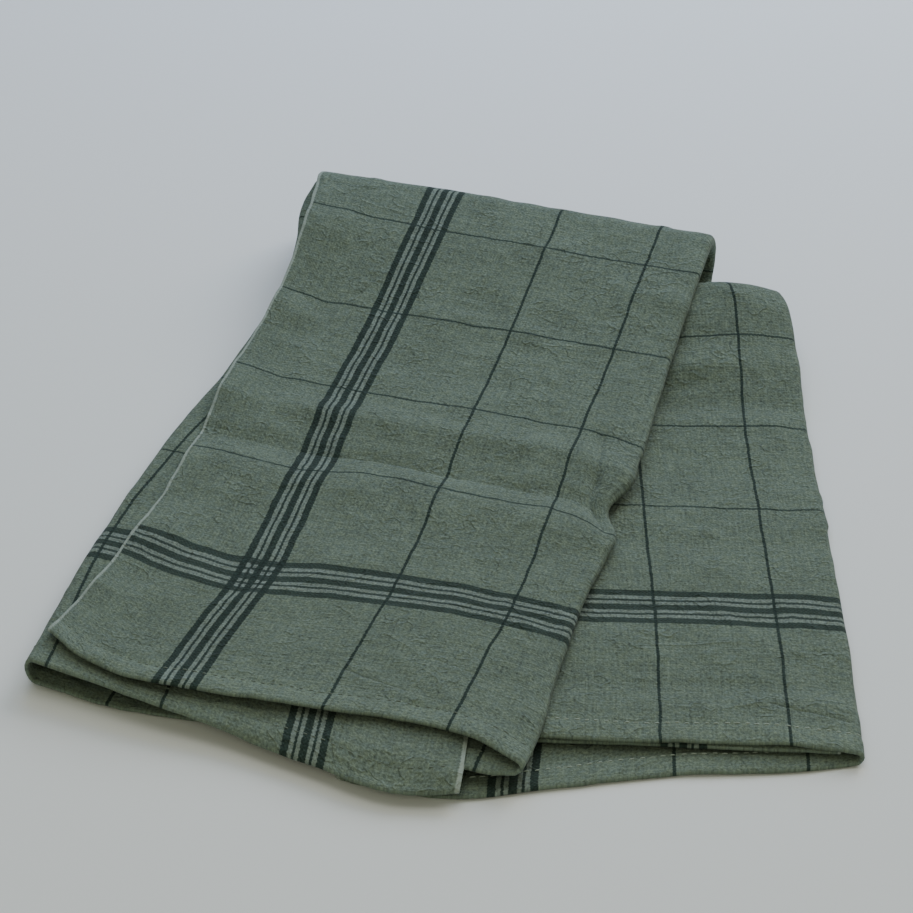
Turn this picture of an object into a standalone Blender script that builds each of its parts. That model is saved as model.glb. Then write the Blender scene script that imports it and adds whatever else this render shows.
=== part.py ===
"""A checked linen tea towel, folded in thirds and then in half, lying in a loose fan.

The cloth is one closed sheet.  A point of the flat cloth is named by two lengths in
centimetres: `across`, from its left selvedge, and `along`, from its upper hem.  The
sheet is folded twice:

* across its width in thirds, on a right and a left crease, which gives three panels
  on top of each other: the flap (outermost), the tuck (between) and the bed (innermost);
* along its length in half, round a soft back loop, so that the half that ends in the
  upper hem lies on the half that ends in the lower hem, turned about 15 degrees from it.

Z is up and Y runs away from the hems.  All tables are in centimetres and degrees.
"""
import math
from collections import namedtuple

import bmesh
import bpy
import numpy as np

CM = 0.01

# ---- the flat cloth --------------------------------------------------------------
CLOTH_WIDTH = 50.0
CLOTH_LENGTH = 70.0
CLOTH_THICK = 0.10
HEM_THICK = 0.13
HEM_DEPTH = 1.0

# ---- the two creases of the fold in thirds ---------------------------------------
# where each crease lies across the cloth, at a length along it
# puff: how far the left crease's turn bulges sideways
Crease = namedtuple("Crease", "along right left puff")
CREASES = (
    Crease(along=0.0, right=17.1, left=34.6, puff=0.30),
    Crease(along=9.0, right=16.95, left=35.0, puff=0.30),
    Crease(along=15.0, right=16.9, left=34.7, puff=0.26),
    Crease(along=22.0, right=16.8, left=34.1, puff=0.20),
    Crease(along=27.0, right=16.75, left=33.9, puff=0.16),
    Crease(along=32.0, right=16.7, left=34.2, puff=0.12),
    Crease(along=45.0, right=16.2, left=33.7, puff=0.11),
    Crease(along=70.0, right=16.2, left=33.5, puff=0.11),
)
RIGHT_PUFF = 0.19
# cloth used by half of a crease's turn, for each centimetre of puff
TURN_PER_PUFF = 1.57

# ---- the fold in half --------------------------------------------------------------
CREST_ALONG = 32.2
FLOOR_ALONG = 36.4
BED_REACH = 1.0
FLAP_REACH = 1.4

# ---- the two halves, as sections across the folded strip ---------------------------
# x, y: the middle of the strip; turn: its direction across, from +X
# top_*: height of the flap's middle surface; lift_*: the bed's height over what it lies on
# edge_in, edge_back: how far the flap's selvedge has drawn in and slid back
Upper = namedtuple(
    "Upper", "along x y turn top_left top_middle top_right lift_left lift_middle lift_right edge_in edge_back"
)
UPPER_HALF = (
    Upper(0.0, -6.10, -16.75, -16.7, 1.45, 1.12, 1.02, 0.10, 0.02, 0.00, 0.10, 0.50),
    Upper(4.0, -5.20, -12.90, -16.2, 1.20, 1.02, 0.99, 0.04, 0.00, 0.00, 0.30, -0.10),
    Upper(9.0, -3.92, -8.05, -15.8, 1.00, 0.96, 0.97, 0.02, 0.00, 0.00, 0.36, -0.35),
    Upper(14.0, -2.67, -3.20, -15.4, 0.98, 0.96, 0.97, 0.02, 0.00, 0.00, 0.40, 0.10),
    Upper(19.0, -1.40, 1.62, -15.2, 1.15, 1.18, 1.14, 0.10, 0.12, 0.15, 0.28, 0.50),
    Upper(24.4, 0.13, 6.82, -14.8, 1.95, 1.75, 1.68, 0.80, 0.65, 0.65, 0.40, 0.35),
    Upper(29.5, 1.43, 11.75, -14.3, 3.15, 2.80, 2.56, 1.95, 1.55, 1.55, 0.00, 0.30),
    Upper(32.2, 2.00, 14.35, -14.3, 3.45, 3.22, 2.88, 2.45, 1.95, 1.70, -0.42, 0.00),
)
# the bed lies on the lower half, and sags to the floor past that half's left edge
FLOOR_LIFT = 0.08
STACK_LIFT = 0.60
SAG_START = -3.9
SAG_WIDTH = 3.0
# top_*: height of the bed, which is the top layer here; the flap lies on the floor
# hump: an extra rise of the bed towards its right edge
Lower = namedtuple("Lower", "along x y turn top_left top_middle top_right hump")
LOWER_HALF = (
    Lower(36.4, 2.00, 14.35, -14.3, 0.45, 0.45, 0.45, 0.00),
    Lower(38.7, 2.60, 12.60, -11.5, 0.45, 0.50, 0.60, 0.12),
    Lower(42.7, 4.60, 9.95, -3.5, 0.45, 0.95, 1.45, 0.95),
    Lower(46.0, 4.88, 6.60, -2.0, 0.42, 0.60, 1.05, 0.55),
    Lower(50.5, 4.90, 2.00, -1.0, 0.40, 0.42, 0.58, 0.05),
    Lower(56.0, 5.00, -3.50, -1.0, 0.39, 0.40, 0.40, 0.00),
    Lower(66.0, 5.02, -13.35, -1.6, 0.39, 0.40, 0.40, 0.00),
    Lower(70.0, 4.90, -17.30, -2.0, 0.44, 0.45, 0.45, 0.00),
)
# where the hump is, and its width, as shares of the strip's half width
HUMP_PLACE = 0.76
HUMP_WIDTH = 0.29
# the flap's selvedge: how wide its shift reaches, and how soon it ends past the crest
EDGE_ZONE = 6.5
EDGE_FADE = 2.0
# beside the left crease the tuck rises towards the flap, and this ends along the cloth
TUCK_RISE = 0.30
TUCK_RISE_END = 14.0
# the tuck at the upper hem and the flap at the lower one are eased a little wider, and
# the tuck's hem droops where nothing is under it
TUCK_SPREAD = 0.02
FLAP_SPREAD = 0.035
SPREAD_END = 8.0
DROOP = 0.35
DROOP_START = 0.6
DROOP_LENGTH = 1.2
# how far the right crease stands out from its line, or is pinched in
Edge = namedtuple("Edge", "along out")
RIGHT_EDGE = (
    Edge(0.0, 0.08),
    Edge(1.5, 0.22),
    Edge(4.0, 0.08),
    Edge(6.5, -0.10),
    Edge(9.0, -0.20),
    Edge(11.5, -0.10),
    Edge(14.2, -0.10),
    Edge(15.5, -0.48),
    Edge(16.8, 0.00),
    Edge(19.0, 0.24),
    Edge(22.0, 0.05),
    Edge(25.0, 0.00),
    Edge(32.0, 0.00),
)
EDGE_REACH = 1.3

# ---- how far the hems have slid back from a straight line, across the cloth ---------
Hem = namedtuple("Hem", "across upper lower")
HEM_SLIDE = (
    Hem(0.0, 0.75, 2.1),
    Hem(1.2, 0.15, 2.5),
    Hem(3.5, -0.25, 2.8),
    Hem(6.0, 0.0, 2.2),
    Hem(10.2, 0.5, 1.2),
    Hem(14.4, 0.8, 0.65),
    Hem(15.8, 0.5, 0.3),
    Hem(17.0, -0.05, 0.1),
    Hem(24.0, 0.2, 0.0),
    Hem(27.5, -0.2, 0.0),
    Hem(31.4, -0.5, 0.0),
    Hem(34.5, -0.2, 0.0),
    Hem(36.0, -0.35, 0.0),
    Hem(39.0, -0.75, 0.0),
    Hem(42.0, -1.08, 0.0),
    Hem(45.0, -1.60, 0.0),
    Hem(48.0, -2.05, 0.0),
    Hem(50.0, -1.45, 0.0),
)
HEM_FADE = 12.0

# ---- soft folds: a ridge (height over 0) or a trough (under 0) along a line on the cloth
Fold = namedtuple("Fold", "across_from along_from across_to along_to height width")
MAIN_FOLDS = (
    # the old crease across the flap, and the rises on both sides of it
    Fold(-1.0, 18.6, 17.1, 18.8, 0.16, 7.0),
    Fold(-1.0, 14.6, 17.1, 14.6, -0.07, 1.4),
    Fold(-1.0, 13.2, 17.1, 13.2, 0.22, 2.4),
    # the same crease across the bed in the lower half
    Fold(17.4, 49.3, 27.0, 49.2, -0.04, 1.2),
    Fold(17.4, 50.6, 27.0, 50.5, 0.12, 2.2),
)
FOLD_END = 0.5


def smooth(rows, column, at):
    """A curve through one column of a table, read at the lengths `at` of its first column."""
    knots = np.array([row[0] for row in rows])
    values = np.array([getattr(row, column) for row in rows])
    slopes = np.gradient(values, knots)
    inside = np.clip(at, knots[0], knots[-1])
    cell = np.clip(np.searchsorted(knots, inside, side="right") - 1, 0, len(knots) - 2)
    span = knots[cell + 1] - knots[cell]
    part = (inside - knots[cell]) / span
    start = values[cell] * (1 + 2 * part) * (1 - part) ** 2
    end = values[cell + 1] * part ** 2 * (3 - 2 * part)
    bend = span * part * (1 - part) * (slopes[cell] * (1 - part) - slopes[cell + 1] * part)
    overrun = at - inside
    return start + end + bend + overrun * np.where(overrun < 0, slopes[0], slopes[-1])


def ease(value):
    """0 below 0, 1 above 1, and a soft step between."""
    part = np.clip(value, 0.0, 1.0)
    return part * part * (3 - 2 * part)


def fold_in_thirds(across, along):
    """Where a point of the cloth lies in the folded strip: sideways, along, and its layer.

    `sideways` runs from the left crease (negative) to the right one, and `layer`
    from 0 on the bed to 1 on the flap.
    """
    right = smooth(CREASES, "right", along)
    left = smooth(CREASES, "left", along)
    middle = 0.5 * (right + left)
    half = 0.5 * (left - right)

    left_puff = smooth(CREASES, "puff", along)
    right_turn = TURN_PER_PUFF * RIGHT_PUFF
    left_turn = TURN_PER_PUFF * left_puff
    at_right = np.clip((across - right) / right_turn, -1.0, 1.0)
    at_left = np.clip((across - left) / left_turn, -1.0, 1.0)
    flap = across - 2 * right + middle
    bed = middle - across
    tuck = across - 2 * left + middle
    round_right = half - right_turn + RIGHT_PUFF * np.cos(0.5 * math.pi * at_right)
    round_left = left_turn - half - left_puff * np.cos(0.5 * math.pi * at_left)
    sideways = np.where(at_right <= -1, flap, np.where(at_right < 1, round_right, bed))
    sideways = np.where(at_left >= 1, tuck, np.where(at_left > -1, round_left, sideways))

    leftness = ease(0.5 - sideways / (2 * half))
    tuck_layer = 0.5 + TUCK_RISE * leftness * (1 - ease((along - TUCK_RISE_END) / TUCK_RISE_END))
    layer = np.where(at_right < 1, 0.5 - 0.5 * np.sin(0.5 * math.pi * at_right), 0.0)
    layer = layer + np.where(at_left > -1, tuck_layer * (0.5 + 0.5 * np.sin(0.5 * math.pi * at_left)), 0.0)

    from_lower = CLOTH_LENGTH - along
    in_tuck = ease(at_left) * (1 - ease(along / SPREAD_END))
    in_flap = ease(-at_right) * (1 - ease(from_lower / SPREAD_END))
    sideways = sideways + TUCK_SPREAD * in_tuck * (sideways + half) - FLAP_SPREAD * in_flap * (half - sideways)
    by_crease = np.exp(-((half - sideways) / EDGE_REACH) ** 2)
    sideways = sideways + smooth(RIGHT_EDGE, "out", np.clip(along, 0.0, CREST_ALONG)) * by_crease

    edge = np.clip(1 - across / EDGE_ZONE, 0.0, 1.0) ** 2
    sideways = sideways + edge * smooth(UPPER_HALF, "edge_in", np.clip(along, 0.0, CREST_ALONG))
    slide = edge * smooth(UPPER_HALF, "edge_back", np.clip(along, 0.0, CREST_ALONG))
    slide = slide * (1 - ease((along - CREST_ALONG) / EDGE_FADE))
    slide = slide + smooth(HEM_SLIDE, "upper", across) * (1 - ease(along / HEM_FADE))
    slide = slide + smooth(HEM_SLIDE, "lower", across) * (1 - ease(from_lower / HEM_FADE))
    return sideways, along + slide, layer, half


def folds(table, across, along):
    """The height that a table of soft folds adds."""
    total = 0.0
    for fold in table:
        run_x, run_y = fold.across_to - fold.across_from, fold.along_to - fold.along_from
        length = math.hypot(run_x, run_y)
        from_x, from_y = across - fold.across_from, along - fold.along_from
        down = (from_x * run_x + from_y * run_y) / length
        aside = (from_y * run_x - from_x * run_y) / length
        past = np.maximum(0.0, np.maximum(-down, down - length))
        total = total + fold.height * np.exp(-(2 * aside / fold.width) ** 2 - (past / FOLD_END) ** 2)
    return total


def across_strip(rows, columns, along, sideways, half):
    """A height that passes through its left, middle and right columns."""
    left, middle, right = (smooth(rows, column, along) for column in columns)
    at = sideways / half
    return middle + 0.5 * at * (right - left) + 0.5 * at * at * (right + left - 2 * middle)


def place(across, along):
    """The middle surface of the folded cloth, in centimetres."""
    sideways, run, layer, half = fold_in_thirds(across, along)
    upper_run = np.minimum(run, CREST_ALONG)
    lower_run = np.maximum(run, FLOOR_ALONG)
    turn = math.pi * np.clip((run - CREST_ALONG) / (FLOOR_ALONG - CREST_ALONG), 0.0, 1.0)

    rows = np.where(run < 0.5 * (CREST_ALONG + FLOOR_ALONG), 0, 1)
    centre_x = np.where(rows, smooth(LOWER_HALF, "x", lower_run), smooth(UPPER_HALF, "x", upper_run))
    centre_y = np.where(rows, smooth(LOWER_HALF, "y", lower_run), smooth(UPPER_HALF, "y", upper_run))
    angle = np.where(rows, smooth(LOWER_HALF, "turn", lower_run), smooth(UPPER_HALF, "turn", upper_run))
    angle = np.radians(angle)
    reach = (BED_REACH + (FLAP_REACH - BED_REACH) * layer) * np.sin(turn)
    x = centre_x + sideways * np.cos(angle) - reach * np.sin(angle)
    y = centre_y + sideways * np.sin(angle) + reach * np.cos(angle)

    top = across_strip(UPPER_HALF, ("top_left", "top_middle", "top_right"), upper_run, sideways, half)
    lift = across_strip(UPPER_HALF, ("lift_left", "lift_middle", "lift_right"), upper_run, sideways, half)
    support = FLOOR_LIFT + (STACK_LIFT - FLOOR_LIFT) * ease((x - SAG_START) / SAG_WIDTH + 1)
    droop = DROOP * ease((-run - DROOP_START) / DROOP_LENGTH)
    upper_z = support + lift + (top - support - lift) * layer - droop
    below = across_strip(LOWER_HALF, ("top_left", "top_middle", "top_right"), lower_run, sideways, half)
    hump_at = (sideways / half - HUMP_PLACE) / HUMP_WIDTH
    below = below + smooth(LOWER_HALF, "hump", lower_run) * np.exp(-hump_at * hump_at)
    lower_z = below + (0.5 * CLOTH_THICK - below) * layer

    height = lower_z + (upper_z - lower_z) * (0.5 + 0.5 * np.cos(turn))
    height = height + folds(MAIN_FOLDS, across, along)
    return np.stack([x, y, height], axis=-1)


# ---- mesh --------------------------------------------------------------------------
# how many cells each stretch of the cloth is divided into
PANEL_CELLS = 11
TURN_CELLS = 6
Stretch = namedtuple("Stretch", "start end cells")
STRETCHES = (
    Stretch(0.0, HEM_DEPTH, 1),
    Stretch(HEM_DEPTH, HEM_DEPTH + 0.2, 1),
    Stretch(HEM_DEPTH + 0.2, 11.5, 6),
    Stretch(11.5, 16.5, 8),
    Stretch(16.5, 29.5, 7),
    Stretch(29.5, CREST_ALONG, 2),
    Stretch(CREST_ALONG, FLOOR_ALONG, 10),
    Stretch(FLOOR_ALONG, 46.0, 9),
    Stretch(46.0, 52.0, 5),
    Stretch(52.0, CLOTH_LENGTH - HEM_DEPTH - 0.2, 9),
    Stretch(CLOTH_LENGTH - HEM_DEPTH - 0.2, CLOTH_LENGTH - HEM_DEPTH, 1),
    Stretch(CLOTH_LENGTH - HEM_DEPTH, CLOTH_LENGTH, 1),
)


def steps(start, end, cells):
    """The ends of equal cells, without the last one."""
    return np.linspace(start, end, cells, endpoint=False)


def cloth_grid():
    """The flat cloth's grid: two arrays, across and along, a row for each length."""
    along = np.concatenate([steps(*stretch) for stretch in STRETCHES] + [[CLOTH_LENGTH]])
    right = smooth(CREASES, "right", along)
    left = smooth(CREASES, "left", along)
    right_turn = TURN_PER_PUFF * RIGHT_PUFF
    left_turn = TURN_PER_PUFF * smooth(CREASES, "puff", along)
    rows = []
    for right_at, left_at, turn_at in zip(right, left, left_turn):
        rows.append(np.concatenate([
            steps(0.0, right_at - right_turn, PANEL_CELLS),
            steps(right_at - right_turn, right_at + right_turn, TURN_CELLS),
            steps(right_at + right_turn, left_at - turn_at, PANEL_CELLS),
            steps(left_at - turn_at, left_at + turn_at, TURN_CELLS),
            steps(left_at + turn_at, CLOTH_WIDTH, PANEL_CELLS),
            [CLOTH_WIDTH],
        ]))
    across = np.array(rows)
    return across, np.broadcast_to(along[:, None], across.shape)


def normals_of(points):
    """Unit normals of a grid of points, towards the face of the cloth."""
    by_along, by_across = np.gradient(points, axis=(0, 1))
    normals = np.cross(by_across, by_along)
    return normals / np.linalg.norm(normals, axis=-1, keepdims=True)


def cloth_mesh():
    """The closed sheet: its face, its back, and the rim that joins them."""
    across, along = cloth_grid()
    middle = place(across, along)
    normals = normals_of(middle)
    from_hem = np.minimum(along, CLOTH_LENGTH - along)
    back_depth = np.where(from_hem <= HEM_DEPTH, HEM_THICK - 0.5 * CLOTH_THICK, 0.5 * CLOTH_THICK)
    face = middle + normals * 0.5 * CLOTH_THICK
    back = middle - normals * back_depth[..., None]

    corners = np.concatenate([face.reshape(-1, 3), back.reshape(-1, 3)])
    lowest, highest = corners.min(axis=0), corners.max(axis=0)
    foot = np.array([0.5 * (lowest[0] + highest[0]), 0.5 * (lowest[1] + highest[1]), 0.0])
    corners = (corners - foot) * CM

    rows, columns = across.shape
    index = np.arange(rows * columns).reshape(rows, columns)
    a, b = index[:-1, :-1].ravel(), index[:-1, 1:].ravel()
    c, d = index[1:, 1:].ravel(), index[1:, :-1].ravel()
    behind = rows * columns
    face_quads = np.stack([a, b, c, d], axis=1)
    back_quads = np.stack([d, c, b, a], axis=1) + behind
    edge = np.concatenate([index[0, :-1], index[:-1, -1], index[-1, :0:-1], index[:0:-1, 0]])
    following = np.roll(edge, -1)
    rim_quads = np.stack([following, edge, edge + behind, following + behind], axis=1)

    mesh = bpy.data.meshes.new("towel")
    quads = np.concatenate([face_quads, back_quads, rim_quads])
    mesh.from_pydata(corners.tolist(), [], quads.tolist())
    mesh.validate()
    return mesh


def linen():
    """Grey-green washed linen."""
    material = bpy.data.materials.new("linen")
    material.use_nodes = True
    shader = material.node_tree.nodes["Principled BSDF"]
    shader.inputs["Base Color"].default_value = (0.12, 0.155, 0.125, 1.0)
    shader.inputs["Roughness"].default_value = 0.9
    shader.inputs["Metallic"].default_value = 0.0
    return material


def towel():
    """The whole towel: one cloth, its hems part of it."""
    mesh = cloth_mesh()
    tidy = bmesh.new()
    tidy.from_mesh(mesh)
    bmesh.ops.triangulate(tidy, faces=tidy.faces[:])
    bmesh.ops.recalc_face_normals(tidy, faces=tidy.faces[:])
    tidy.to_mesh(mesh)
    tidy.free()
    mesh.shade_smooth()
    cloth = bpy.data.objects.new("towel", mesh)
    cloth.data.materials.append(linen())
    bpy.context.scene.collection.objects.link(cloth)


def main():
    for old in list(bpy.data.objects):
        bpy.data.objects.remove(old, do_unlink=True)
    towel()


main()
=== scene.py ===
"""The looks of a checked linen tea towel, folded in thirds and then in half, in a loose fan.

A point of the flat cloth is named by two lengths in centimetres: `across`, from its left
selvedge, and `along`, from its upper hem.  The tables of the fold are those of the solid;
the sheet here is finer, and adds the creases, the crumple, the weave and the stitches.
"""

import math
from collections import namedtuple

import bpy
import numpy as np
from mathutils import Matrix, Vector


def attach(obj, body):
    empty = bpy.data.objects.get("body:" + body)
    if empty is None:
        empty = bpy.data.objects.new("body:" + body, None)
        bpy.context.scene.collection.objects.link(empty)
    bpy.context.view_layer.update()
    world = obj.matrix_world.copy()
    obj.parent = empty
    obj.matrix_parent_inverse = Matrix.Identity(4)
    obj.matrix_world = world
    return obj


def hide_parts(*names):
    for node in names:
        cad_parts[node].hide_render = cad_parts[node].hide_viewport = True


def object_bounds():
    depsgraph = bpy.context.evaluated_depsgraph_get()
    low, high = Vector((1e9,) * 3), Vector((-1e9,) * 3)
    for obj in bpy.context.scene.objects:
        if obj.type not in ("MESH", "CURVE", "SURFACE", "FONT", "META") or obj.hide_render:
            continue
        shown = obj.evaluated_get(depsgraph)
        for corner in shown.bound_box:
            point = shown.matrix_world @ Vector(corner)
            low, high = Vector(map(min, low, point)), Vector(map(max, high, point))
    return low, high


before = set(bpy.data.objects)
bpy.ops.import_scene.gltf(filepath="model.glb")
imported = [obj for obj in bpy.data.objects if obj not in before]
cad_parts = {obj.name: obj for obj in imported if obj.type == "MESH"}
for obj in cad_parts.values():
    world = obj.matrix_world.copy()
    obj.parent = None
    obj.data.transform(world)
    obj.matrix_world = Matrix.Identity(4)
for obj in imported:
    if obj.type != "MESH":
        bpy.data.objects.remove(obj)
CAD_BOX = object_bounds()

CM = 0.01

# ---- the flat cloth, in centimetres ----
CLOTH_WIDTH = 50.0
CLOTH_LENGTH = 70.0
CLOTH_THICK = 0.07
HEM_THICK = 0.13
HEM_DEPTH = 1.0
STITCH_DEPTH = 0.92
SOLID_THICK = 0.10

# ---- the camera, in the table's frame, in centimetres ----
LOOK_DISTANCE = 102.2
LOOK_DOWN = math.radians(33.59)
CAMERA_ROLL = math.radians(1.07)
LENS_MM = 105.4
SENSOR_MM = 36.0

# ---- the two creases of the fold in thirds ----
# where each crease lies across the cloth, at a length along it
# puff: how far the left crease's turn bulges sideways
Crease = namedtuple("Crease", "along right left puff")
CREASES = (
    Crease(0.0, 17.1, 34.6, 0.30),
    Crease(9.0, 16.95, 35.0, 0.30),
    Crease(15.0, 16.9, 34.7, 0.26),
    Crease(22.0, 16.8, 34.1, 0.20),
    Crease(27.0, 16.75, 33.9, 0.16),
    Crease(32.0, 16.7, 34.2, 0.12),
    Crease(45.0, 16.2, 33.7, 0.11),
    Crease(70.0, 16.2, 33.5, 0.11),
)
RIGHT_PUFF = 0.19
# cloth used by half of a crease's turn, for each centimetre of puff
TURN_PER_PUFF = 1.57

# ---- the fold in half ----
CREST_ALONG = 32.2
FLOOR_ALONG = 36.4
BED_REACH = 1.0
FLAP_REACH = 1.4

# ---- the two halves, as sections across the folded strip ----
# x, y: the middle of the strip; turn: its direction across, from +X
# top_*: height of the flap's middle surface; lift_*: the bed's height over what it lies on
# edge_in, edge_back: how far the flap's selvedge has drawn in and slid back
Upper = namedtuple(
    "Upper",
    "along x y turn top_left top_middle top_right "
    "lift_left lift_middle lift_right edge_in edge_back",
)
UPPER_HALF = (
    Upper(0.0, -6.10, -16.75, -16.7, 1.45, 1.12, 1.02, 0.10, 0.02, 0.00, 0.10, 0.50),
    Upper(4.0, -5.20, -12.90, -16.2, 1.20, 1.02, 0.99, 0.04, 0.00, 0.00, 0.30, -0.10),
    Upper(9.0, -3.92, -8.05, -15.8, 1.00, 0.96, 0.97, 0.02, 0.00, 0.00, 0.36, -0.35),
    Upper(14.0, -2.67, -3.20, -15.4, 0.98, 0.96, 0.97, 0.02, 0.00, 0.00, 0.40, 0.10),
    Upper(19.0, -1.40, 1.62, -15.2, 1.15, 1.18, 1.14, 0.10, 0.12, 0.15, 0.28, 0.50),
    Upper(24.4, 0.13, 6.82, -14.8, 1.95, 1.75, 1.68, 0.80, 0.65, 0.65, 0.40, 0.35),
    Upper(29.5, 1.43, 11.75, -14.3, 3.15, 2.80, 2.56, 1.95, 1.55, 1.55, 0.00, 0.30),
    Upper(32.2, 2.00, 14.35, -14.3, 3.45, 3.22, 2.88, 2.45, 1.95, 1.70, -0.42, 0.00),
)
# the bed lies on the lower half, and sags to the floor past that half's left edge
FLOOR_LIFT = 0.08
STACK_LIFT = 0.60
SAG_START = -3.9
SAG_WIDTH = 3.0
# top_*: height of the bed, which is the top layer here; the flap lies on the floor
# hump: an extra rise of the bed towards its right edge
Lower = namedtuple("Lower", "along x y turn top_left top_middle top_right hump")
LOWER_HALF = (
    Lower(36.4, 2.00, 14.35, -14.3, 0.45, 0.45, 0.45, 0.00),
    Lower(38.7, 2.60, 12.60, -11.5, 0.45, 0.50, 0.60, 0.12),
    Lower(42.7, 4.60, 9.95, -3.5, 0.45, 0.95, 1.45, 0.95),
    Lower(46.0, 4.88, 6.60, -2.0, 0.42, 0.60, 1.05, 0.55),
    Lower(50.5, 4.90, 2.00, -1.0, 0.40, 0.42, 0.58, 0.05),
    Lower(56.0, 5.00, -3.50, -1.0, 0.39, 0.40, 0.40, 0.00),
    Lower(66.0, 5.02, -13.35, -1.6, 0.39, 0.40, 0.40, 0.00),
    Lower(70.0, 4.90, -17.30, -2.0, 0.44, 0.45, 0.45, 0.00),
)
# the columns of a height's three places across the strip
TOPS = ("top_left", "top_middle", "top_right")
LIFTS = ("lift_left", "lift_middle", "lift_right")
# where the hump is, and its width, as shares of the strip's half width
HUMP_PLACE = 0.76
HUMP_WIDTH = 0.29
# the flap's selvedge: how wide its shift reaches, and how soon it ends past the crest
EDGE_ZONE = 6.5
EDGE_FADE = 2.0
# beside the left crease the tuck rises towards the flap, and this ends along the cloth
TUCK_RISE = 0.30
TUCK_RISE_END = 14.0
# the tuck at the upper hem and the flap at the lower one are eased a little wider, and
# the tuck's hem droops where nothing is under it
TUCK_SPREAD = 0.02
FLAP_SPREAD = 0.035
SPREAD_END = 8.0
DROOP = 0.35
DROOP_START = 0.6
DROOP_LENGTH = 1.2
# how far the right crease stands out from its line, or is pinched in
Edge = namedtuple("Edge", "along out")
RIGHT_EDGE = (
    Edge(0.0, 0.08),
    Edge(1.5, 0.22),
    Edge(4.0, 0.08),
    Edge(6.5, -0.10),
    Edge(9.0, -0.20),
    Edge(11.5, -0.10),
    Edge(14.2, -0.10),
    Edge(15.5, -0.48),
    Edge(16.8, 0.00),
    Edge(19.0, 0.24),
    Edge(22.0, 0.05),
    Edge(25.0, 0.00),
    Edge(32.0, 0.00),
)
EDGE_REACH = 1.3

# ---- how far the hems have slid back from a straight line, across the cloth ----
Hem = namedtuple("Hem", "across upper lower")
HEM_SLIDE = (
    Hem(0.0, 0.75, 2.1),
    Hem(1.2, 0.15, 2.5),
    Hem(3.5, -0.25, 2.8),
    Hem(6.0, 0.0, 2.2),
    Hem(10.2, 0.5, 1.2),
    Hem(14.4, 0.8, 0.65),
    Hem(15.8, 0.5, 0.3),
    Hem(17.0, -0.05, 0.1),
    Hem(24.0, 0.2, 0.0),
    Hem(27.5, -0.2, 0.0),
    Hem(31.4, -0.5, 0.0),
    Hem(34.5, -0.2, 0.0),
    Hem(36.0, -0.35, 0.0),
    Hem(39.0, -0.75, 0.0),
    Hem(42.0, -1.08, 0.0),
    Hem(45.0, -1.60, 0.0),
    Hem(48.0, -2.05, 0.0),
    Hem(50.0, -1.45, 0.0),
)
HEM_FADE = 12.0

# ---- soft folds: a ridge (height over 0) or a trough (under 0) along a line on the cloth ----
Fold = namedtuple("Fold", "across_from along_from across_to along_to height width")
MAIN_FOLDS = (
    # the old crease across the flap, and the rises on both sides of it
    Fold(-1.0, 18.6, 17.1, 18.8, 0.16, 7.0),
    Fold(-1.0, 14.6, 17.1, 14.6, -0.07, 1.4),
    Fold(-1.0, 13.2, 17.1, 13.2, 0.22, 2.4),
    # the same crease across the bed in the lower half
    Fold(17.4, 49.3, 27.0, 49.2, -0.04, 1.2),
    Fold(17.4, 50.6, 27.0, 50.5, 0.12, 2.2),
)
FOLD_END = 0.5


# ==== the folded shape ====
def smooth(rows, column, at):
    """A curve through one column of a table, read at the lengths `at` of its first column."""
    knots = np.array([row[0] for row in rows])
    values = np.array([getattr(row, column) for row in rows])
    slopes = np.gradient(values, knots)
    inside = np.clip(at, knots[0], knots[-1])
    cell = np.clip(np.searchsorted(knots, inside, side="right") - 1, 0, len(knots) - 2)
    span = knots[cell + 1] - knots[cell]
    part = (inside - knots[cell]) / span
    start = values[cell] * (1 + 2 * part) * (1 - part) ** 2
    end = values[cell + 1] * part ** 2 * (3 - 2 * part)
    bend = span * part * (1 - part) * (slopes[cell] * (1 - part) - slopes[cell + 1] * part)
    overrun = at - inside
    return start + end + bend + overrun * np.where(overrun < 0, slopes[0], slopes[-1])


def ease(value):
    """0 below 0, 1 above 1, and a soft step between."""
    part = np.clip(value, 0.0, 1.0)
    return part * part * (3 - 2 * part)


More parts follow.
